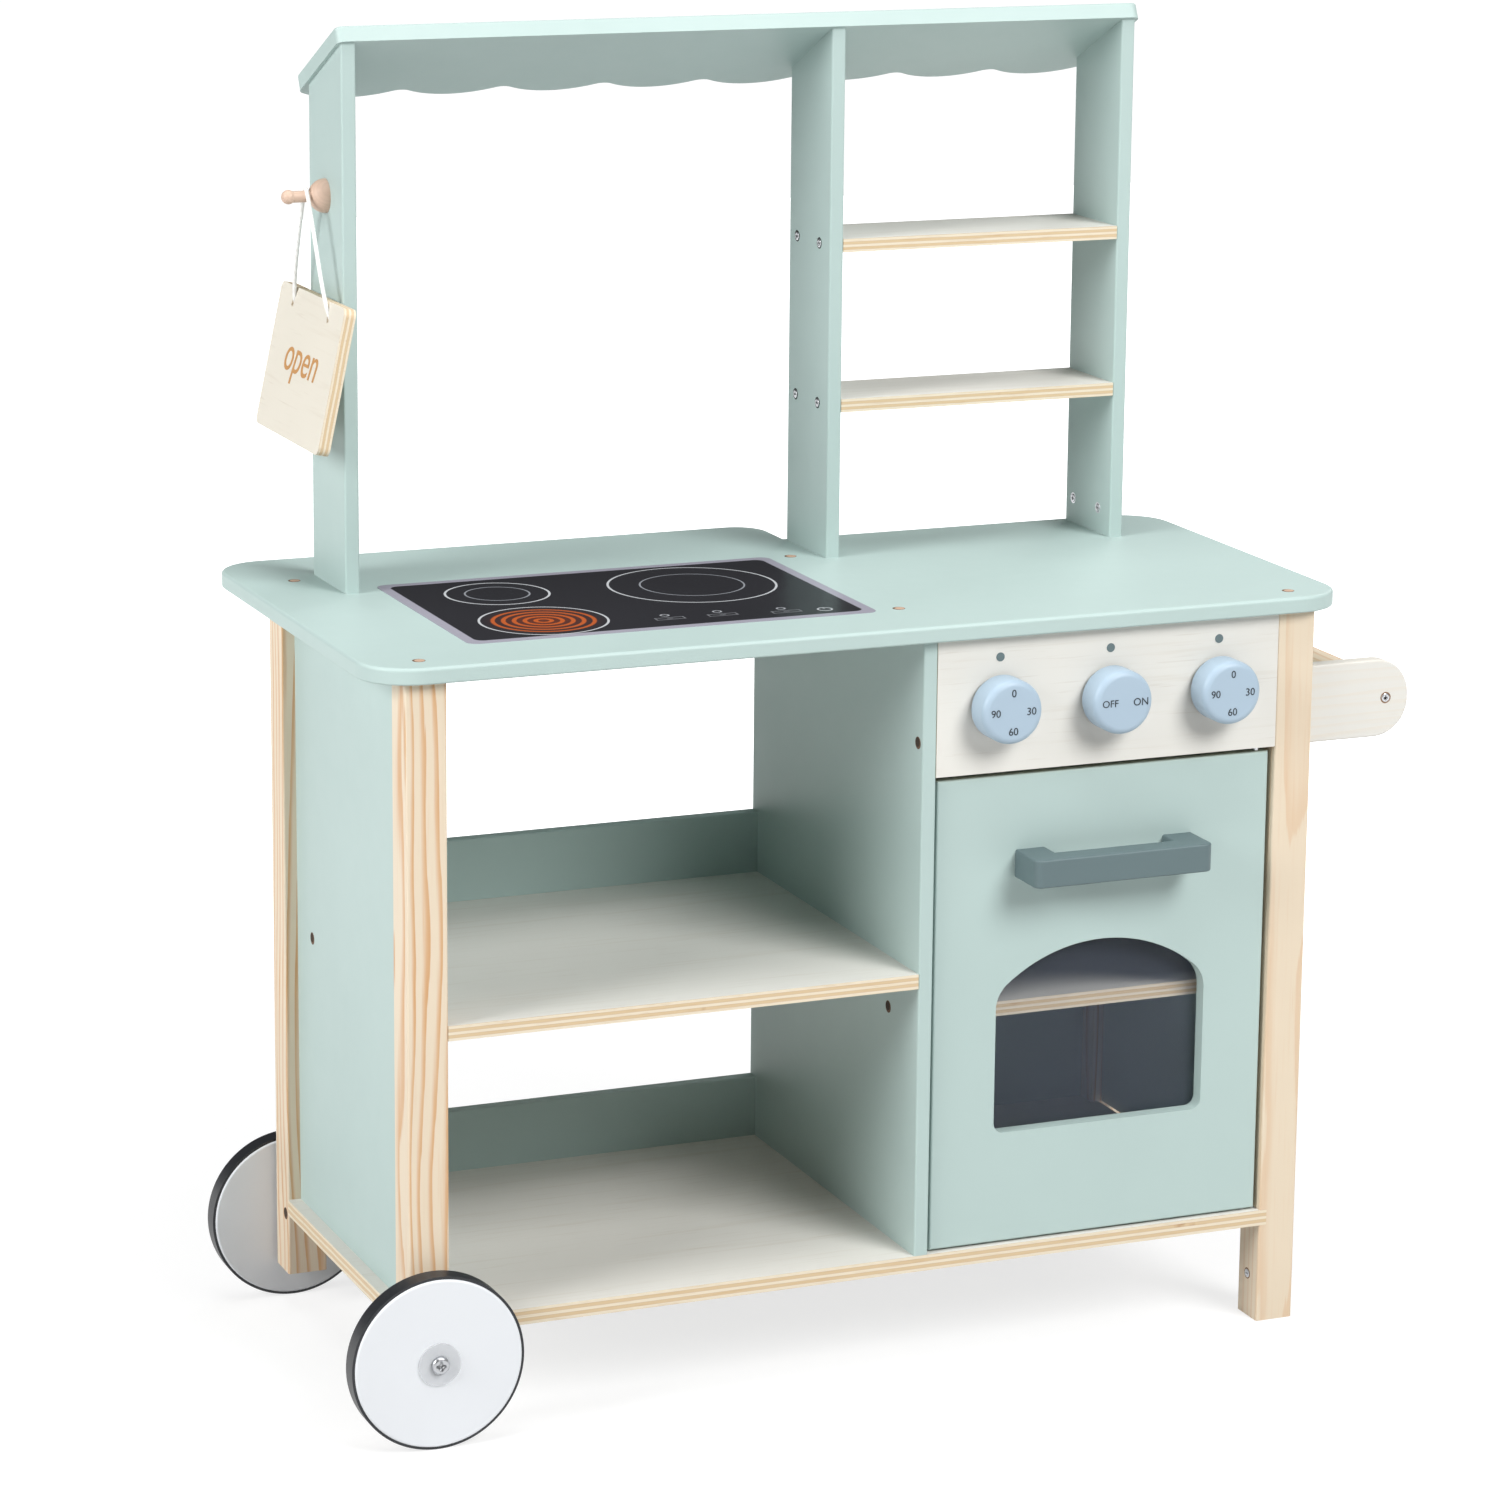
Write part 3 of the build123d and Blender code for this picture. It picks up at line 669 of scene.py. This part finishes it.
class KITCHEN_OT_fittings(bpy.types.Operator):
    """Finishes the knobs, the wheels, the door's handle, pane and pins, and the hob"""
    bl_idname = "kitchen.fittings"
    bl_label = "Knobs, wheels and hob"

    def execute(self, context):
        dress(painted_wood("knob_blue", tone("knob"), 0.42),
              "knob_left", "knob_centre", "knob_right")
        dress(painted_wood("wheel_white", tone("wheel"), 0.5), "wheel_front", "wheel_rear")
        dress(painted_wood("handle_slate", tone("slate"), 0.48), "door_handle")
        dress(rubber("tyre_rubber"), "tyre_front", "tyre_rear")
        dress(clear_nylon("milky_nylon"), "wheel_washer_front", "wheel_washer_rear",
              "wheel_spacer_front", "wheel_spacer_rear")
        dress(steel("plated_steel"), "axle_screw_front", "axle_screw_rear",
              "door_pivot_bottom", "door_pivot_top")
        dress(tinted_pane("smoked_pane"), "oven_window")
        dress(hob_film("hob_picture"), "hob_print")
        return {"FINISHED"}


def disc_cap(place, axis, radius, height, rim):
    """Returns a modelling function for a low round cap with a rounded rim."""
    def build(bm):
        made = bmesh.ops.create_circle(bm, cap_ends=True, segments=40, radius=radius)
        face = made["verts"][0].link_faces[0]
        top = bmesh.ops.extrude_face_region(bm, geom=[face])["geom"]
        lifted = [part for part in top if isinstance(part, bmesh.types.BMVert)]
        bmesh.ops.translate(bm, vec=(0, 0, height), verts=lifted)
        rims = [edge for edge in bm.edges if min(end.co.z for end in edge.verts) > height / 2]
        bmesh.ops.bevel(bm, geom=rims, offset=rim, offset_type="OFFSET", segments=3, profile=0.5,
                        affect="EDGES", material=-1)
        bm.transform(frame_at(place, axis))
    return build


def loop_of(bm, points, level):
    """Adds a closed loop of vertices at one level and returns its vertices and edges."""
    verts = [bm.verts.new((x, y, level)) for x, y in points]
    edges = [bm.edges.new((a, b)) for a, b in zip(verts, verts[1:] + verts[:1])]
    return verts, edges


def cross_screw(place, axis, radius, height, shank=0.0, shank_radius=0.0):
    """Returns a modelling function for a screw head with a tapered cross recess, and its shank."""
    def build(bm):
        sides = 40
        around = [(math.cos(math.tau * side / sides), math.sin(math.tau * side / sides))
                  for side in range(sides)]
        arm, half = 0.6 * radius, 0.14 * radius
        corners = [(arm, -half), (arm, half), (half, half), (half, arm), (-half, arm),
                   (-half, half), (-arm, half), (-arm, -half), (-half, -half), (-half, -arm),
                   (half, -arm), (half, -half)]
        steps = ((1.0, 0.0), (0.99, 0.35), (0.93, 0.7), (0.82, 0.92), (0.66, 1.0))
        rings = [loop_of(bm, [(x * radius * share, y * radius * share) for x, y in around],
                         height * level)
                 for share, level in steps]
        for below, above in zip(rings, rings[1:]):
            bmesh.ops.bridge_loops(bm, edges=below[1] + above[1])
        rim = loop_of(bm, corners, height)
        bmesh.ops.triangle_fill(bm, use_beauty=True, edges=rings[-1][1] + rim[1])
        floor = loop_of(bm, [(x * 0.8, y * 0.8) for x, y in corners], height * 0.2)
        bmesh.ops.bridge_loops(bm, edges=rim[1] + floor[1])
        bmesh.ops.triangle_fill(bm, use_beauty=True, edges=floor[1])
        if shank:
            narrow = [(x * shank_radius, y * shank_radius) for x, y in around]
            neck = [loop_of(bm, narrow, level) for level in (0.0, -shank)]
            bmesh.ops.bridge_loops(bm, edges=rings[0][1] + neck[0][1])
            bmesh.ops.bridge_loops(bm, edges=neck[0][1] + neck[1][1])
            bm.faces.new(neck[1][0])
        else:
            bm.faces.new(rings[0][0])
        bm.transform(frame_at(place, axis))
    return build


def on(x, y, z):
    """A point counted from the outer left, front and lower corner of the posts, in millimetres."""
    return Vector((left_edge + x * MM, front_edge + y * MM, z * MM))


class KITCHEN_OT_plugs(bpy.types.Operator):
    """Adds the wooden plugs in the worktop and the open holes in the boards and a post; the holes
    are flat discs of painted shade
    """
    bl_idname = "kitchen.plugs"
    bl_label = "Plugs and holes"

    def execute(self, context):
        # The rim colour is the bare wood of a bore and the joint round a plug, darkened with
        # painted shade; the dark disc is painted shade deep in an open hole.
        rim = ink("bore_brown", srgb(112, 84, 64), 0.8)
        dark = ink("bore_dark", srgb(64, 50, 40), 0.9)
        wood = ink("plug_wood", srgb(206, 172, 148), 0.7)
        radius = sizes().plug_radius

        def stack(kind, count, place, axis, aside, inner, share, height, edge):
            """A rim and a smaller disc on it, a little aside, so that the rim shows unevenly round
            the disc.
            """
            build = disc_cap(place, axis, radius, 0.12 * MM, 0.05 * MM)
            shaped(f"{kind}_rim_{count}", build, rim, "kitchen")
            build = disc_cap(place + Vector(aside) * MM, axis, radius * share, height, edge)
            shaped(f"{kind}_{count}", build, inner, "kitchen")

        plugs = ((15, 15), (15, 299), (688, 15), (688, 299), (393.5, 57), (393.5, 257))
        for count, (x, y) in enumerate(plugs, 1):
            stack("plug", count, on(x, y, WORKTOP_LEVEL), UP, (0.4, -0.4, 0), wood, 0.8,
                  0.25 * MM, 0.1 * MM)
        # Open holes: a brown rim of bore wall with painted shade, and a dark disc of painted shade
        # set aside in it.
        holes = ((10, 248, 301), (388, 8, 472), (388, 52.5, 263.3), (0, 290.4, 75.5))
        for count, place in enumerate(holes, 1):
            stack("hole", count, on(*place), TO_THE_LEFT, (0, 0.5, 0.5), dark, 0.75,
                  0.2 * MM, 0.05 * MM)
        return {"FINISHED"}


class KITCHEN_OT_screws(bpy.types.Operator):
    """Adds the wood screws on flat counterbore discs, most of them painted shade, and the screws
    that hold the wheels
    """
    bl_idname = "kitchen.screws"
    bl_label = "Screws"

    def execute(self, context):
        metal = steel("screw_steel", 0.3)
        # Counterbores are flat discs: dark painted shade on the uprights, and bare wood darkened
        # with painted shade on the post and the brackets.
        shadow = ink("counterbore_shadow", srgb(52, 60, 58), 0.9)
        bore_wood_shade = ink("counterbore_wood", srgb(150, 118, 92), 0.9)
        radius, height = sizes().screw_radius, sizes().screw_height
        sideways = (
            ("upright", shadow, (415.5, 302, 797)), ("upright", shadow, (415.5, 260, 797)),
            ("upright", shadow, (415.5, 302, 676)), ("upright", shadow, (415.5, 260, 676)),
            ("niche", metal, (654, 304, 579.5)), ("niche", metal, (654, 261, 579.5)),
            ("niche", metal, (654, 293, 938)), ("post", bore_wood_shade, (673, 16, 33)),
        )
        places = [(kind, edge, TO_THE_LEFT, on(*place)) for kind, edge, place in sideways]
        for end, facing in (("front", -1), ("rear", 1)):
            low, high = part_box(f"handle_bracket_{end}")
            face_y = low.y if facing < 0 else high.y
            place = Vector((on(770, 0, 0).x, face_y, (low.z + high.z) / 2))
            places.append(("bracket", bore_wood_shade, (0, facing, 0), place))
        for count, (kind, edge, axis, place) in enumerate(places, 1):
            build = disc_cap(place, axis, radius, 0.12 * MM, 0.05 * MM)
            shaped(f"{kind}_counterbore_{count}", build, edge, "kitchen")
            build = cross_screw(place, axis, radius * 0.78, height)
            shaped(f"{kind}_screw_{count}", build, metal, "kitchen", smooth=True)
        head, shank_radius = 3.2 * MM, 3.0 * MM
        for end, facing in (("front", -1), ("rear", 1)):
            low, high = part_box(f"axle_screw_{end}")
            head_radius = (high.x - low.x) / 2
            seat = low.y + head if facing < 0 else high.y - head
            inner = high.y if facing < 0 else low.y
            place = Vector(((low.x + high.x) / 2, seat, (low.z + high.z) / 2))
            shank = abs(seat - inner)
            build = cross_screw(place, (0, facing, 0), head_radius, head, shank, shank_radius)
            piece = shaped(f"wheel_screw_{end}", build, metal, "kitchen", smooth=True)
            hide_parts(f"axle_screw_{end}")
        return {"FINISHED"}


class KITCHEN_OT_dials(bpy.types.Operator):
    """Prints the numbers on the knobs and the marks above them"""
    bl_idname = "kitchen.dials"
    bl_label = "Dial marks"

    def execute(self, context):
        print_ink = ink("dial_ink", tone("mark"))
        dot = ink("dot_paint", tone("slate"), 0.5)
        face_front = Matrix(((1, 0, 0), (0, 0, -1), (0, 1, 0))).to_4x4()
        minutes = (("0", 0, 1), ("30", 1, 0), ("60", 0, -1), ("90", -1, 0))
        words = {"left": minutes, "centre": (("OFF", -0.8, 0), ("ON", 0.95, 0)), "right": minutes}
        panel_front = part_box("control_panel")[0].y
        reach = 14.0 * MM
        for knob, marks in words.items():
            low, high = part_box(f"knob_{knob}")
            middle = (low + high) / 2
            for text, across, up in marks:
                place = Vector((middle.x + across * reach, low.y - 0.1 * MM,
                                middle.z + up * reach))
                size = 7.8 * MM if len(text) < 3 else 7.4 * MM
                matrix = Matrix.Translation(place) @ face_front
                lettering(f"mark_{knob}_{text}", text, size, matrix, print_ink, f"{knob}_knob")
            place = Vector((middle.x, panel_front, DOT_LEVEL * MM))
            build = disc_cap(place, TO_THE_FRONT, sizes().dot_radius, 0.3 * MM, 0.1 * MM)
            shaped(f"knob_dot_{knob}", build, dot, "kitchen")
        return {"FINISHED"}


class KITCHEN_OT_sign(bpy.types.Operator):
    """Finishes the sign and burns its word into it"""
    bl_idname = "kitchen.sign"
    bl_label = "Sign"

    def execute(self, context):
        lean = math.radians(11.9)
        out = Vector((-math.cos(lean), 0, math.sin(lean)))
        up = Vector((math.sin(lean), 0, math.cos(lean)))
        across = Vector((0, -1, 0))
        thickness = 9 * MM
        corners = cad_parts["sign_board"].data.vertices
        face_level = max(out.dot(corner.co) for corner in corners)
        birch = ply_board("sign_birch", srgb(242, 236, 222), "Y", tuple(out), thickness,
                          face_level - thickness)
        dress(birch, "sign_board")
        low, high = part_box("sign_board")
        middle = (low + high) / 2
        middle += out * (face_level - out.dot(middle) + 0.1 * MM)
        middle += up * 5 * MM
        turn = Matrix((across, up, out)).transposed().to_4x4()
        brown = ink("burnt_brown", srgb(206, 152, 92), 0.7)
        lettering("sign_word", "open", 38 * MM, Matrix.Translation(middle) @ turn, brown, "sign",
                  lean=0.3)
        return {"FINISHED"}


class KITCHEN_OT_stage(bpy.types.Operator):
    """Sets up the pale floor, the soft light and the camera"""
    bl_idname = "kitchen.stage"
    bl_label = "Stage"

    def execute(self, context):
        scene = context.scene
        scene.view_settings.view_transform = "Standard"
        mesh = bpy.data.meshes.new("floor")
        bm = bmesh.new()
        bmesh.ops.create_grid(bm, x_segments=1, y_segments=1, size=6.0)
        bmesh.ops.translate(bm, vec=(0, 0, -0.2 * MM), verts=bm.verts)
        bm.to_mesh(mesh)
        bm.free()
        floor = bpy.data.objects.new("floor", mesh)
        scene.collection.objects.link(floor)
        mesh.materials.append(stage_floor("floor_white"))

        world = bpy.data.worlds.new("surroundings")
        scene.world = world
        world.use_nodes = True
        tree = world.node_tree
        plain = tree.nodes["Background"]
        plain.inputs["Color"].default_value = (1, 1, 1, 1)
        plain.inputs["Strength"].default_value = levels().world_level
        seen = tree.nodes.new("ShaderNodeBackground")
        seen.inputs["Color"].default_value = (1, 1, 1, 1)
        seen.inputs["Strength"].default_value = 1.05
        rays = tree.nodes.new("ShaderNodeLightPath")
        choice = tree.nodes.new("ShaderNodeMixShader")
        tree.links.new(rays.outputs["Is Camera Ray"], choice.inputs[0])
        tree.links.new(plain.outputs[0], choice.inputs[1])
        tree.links.new(seen.outputs[0], choice.inputs[2])
        tree.links.new(choice.outputs[0], tree.nodes["World Output"].inputs["Surface"])

        aim = Vector((0, 0, 0.45))
        lamps = (
            ("left_light", (-4.8, -0.9, 2.6), levels().left_power, 2.8),
            ("front_light", (1.9, -4.4, 4.1), levels().front_power, 3.0),
            ("top_light", (-0.3, -0.4, 5.0), levels().top_power, 3.0),
            ("rear_light", (3.9, 3.4, 3.2), levels().rear_power, 2.4),
        )
        for name, place, power, width in lamps:
            lamp = bpy.data.lights.new(name, "AREA")
            lamp.shape = "DISK"
            lamp.size = width
            lamp.energy = power
            holder = bpy.data.objects.new(name, lamp)
            scene.collection.objects.link(holder)
            holder.location = place
            holder.rotation_euler = (aim - Vector(place)).to_track_quat("-Z", "Y").to_euler()

        yaw, pitch, roll = 0.3949, 0.2201, 0.0091
        ahead = Vector((math.sin(yaw) * math.cos(pitch), math.cos(yaw) * math.cos(pitch),
                        -math.sin(pitch)))
        level_right = Vector((math.cos(yaw), -math.sin(yaw), 0))
        down = ahead.cross(level_right)
        right = level_right * math.cos(roll) - down * math.sin(roll)
        down = level_right * math.sin(roll) + down * math.cos(roll)
        view = bpy.data.cameras.new("view")
        view.lens = levels().lens
        view.sensor_width = 36.0
        view.sensor_fit = "HORIZONTAL"
        view.shift_y = -0.0667
        view.clip_end = 60.0
        camera = bpy.data.objects.new("view", view)
        scene.collection.objects.link(camera)
        turn = Matrix((right, -down, -ahead)).transposed().to_4x4()
        camera.matrix_world = Matrix.Translation((-1.41259, -3.28416, 1.30594)) @ turn
        scene.camera = camera
        return {"FINISHED"}


class KITCHEN_PT_sidebar(bpy.types.Panel):
    """Sizes, colours and steps of the kitchen"""
    bl_idname = "KITCHEN_PT_sidebar"
    bl_label = "Play Kitchen"
    bl_space_type = "VIEW_3D"
    bl_region_type = "UI"
    bl_category = "Play Kitchen"

    def draw(self, context):
        for group in (sizes(), colours(), levels()):
            box = self.layout.box()
            for name in group.__annotations__:
                box.prop(group, name)
        for step in STEPS:
            self.layout.operator(step.bl_idname)


STEPS = (KITCHEN_OT_cord, KITCHEN_OT_boards, KITCHEN_OT_timber, KITCHEN_OT_fittings,
         KITCHEN_OT_plugs, KITCHEN_OT_screws, KITCHEN_OT_dials, KITCHEN_OT_sign, KITCHEN_OT_stage)
GROUPS = {"kitchen_sizes": KitchenSizes, "kitchen_colours": KitchenColours,
          "kitchen_stage": StageLevels}


def register():
    """Registers the property groups, the operators and the panel."""
    for made in (*GROUPS.values(), *STEPS, KITCHEN_PT_sidebar):
        bpy.utils.register_class(made)
    for name, group in GROUPS.items():
        setattr(bpy.types.Scene, name, bpy.props.PointerProperty(type=group))


def unregister():
    """Takes them all out again."""
    for name in GROUPS:
        delattr(bpy.types.Scene, name)
    for made in (KITCHEN_PT_sidebar, *reversed(STEPS), *reversed(GROUPS.values())):
        bpy.utils.unregister_class(made)


def main():
    """Runs every step in order."""
    register()
    bpy.ops.kitchen.cord()
    bpy.ops.kitchen.boards()
    bpy.ops.kitchen.timber()
    bpy.ops.kitchen.fittings()
    bpy.ops.kitchen.plugs()
    bpy.ops.kitchen.screws()
    bpy.ops.kitchen.dials()
    bpy.ops.kitchen.sign()
    bpy.ops.kitchen.stage()


if __name__ == "__main__":
    main()
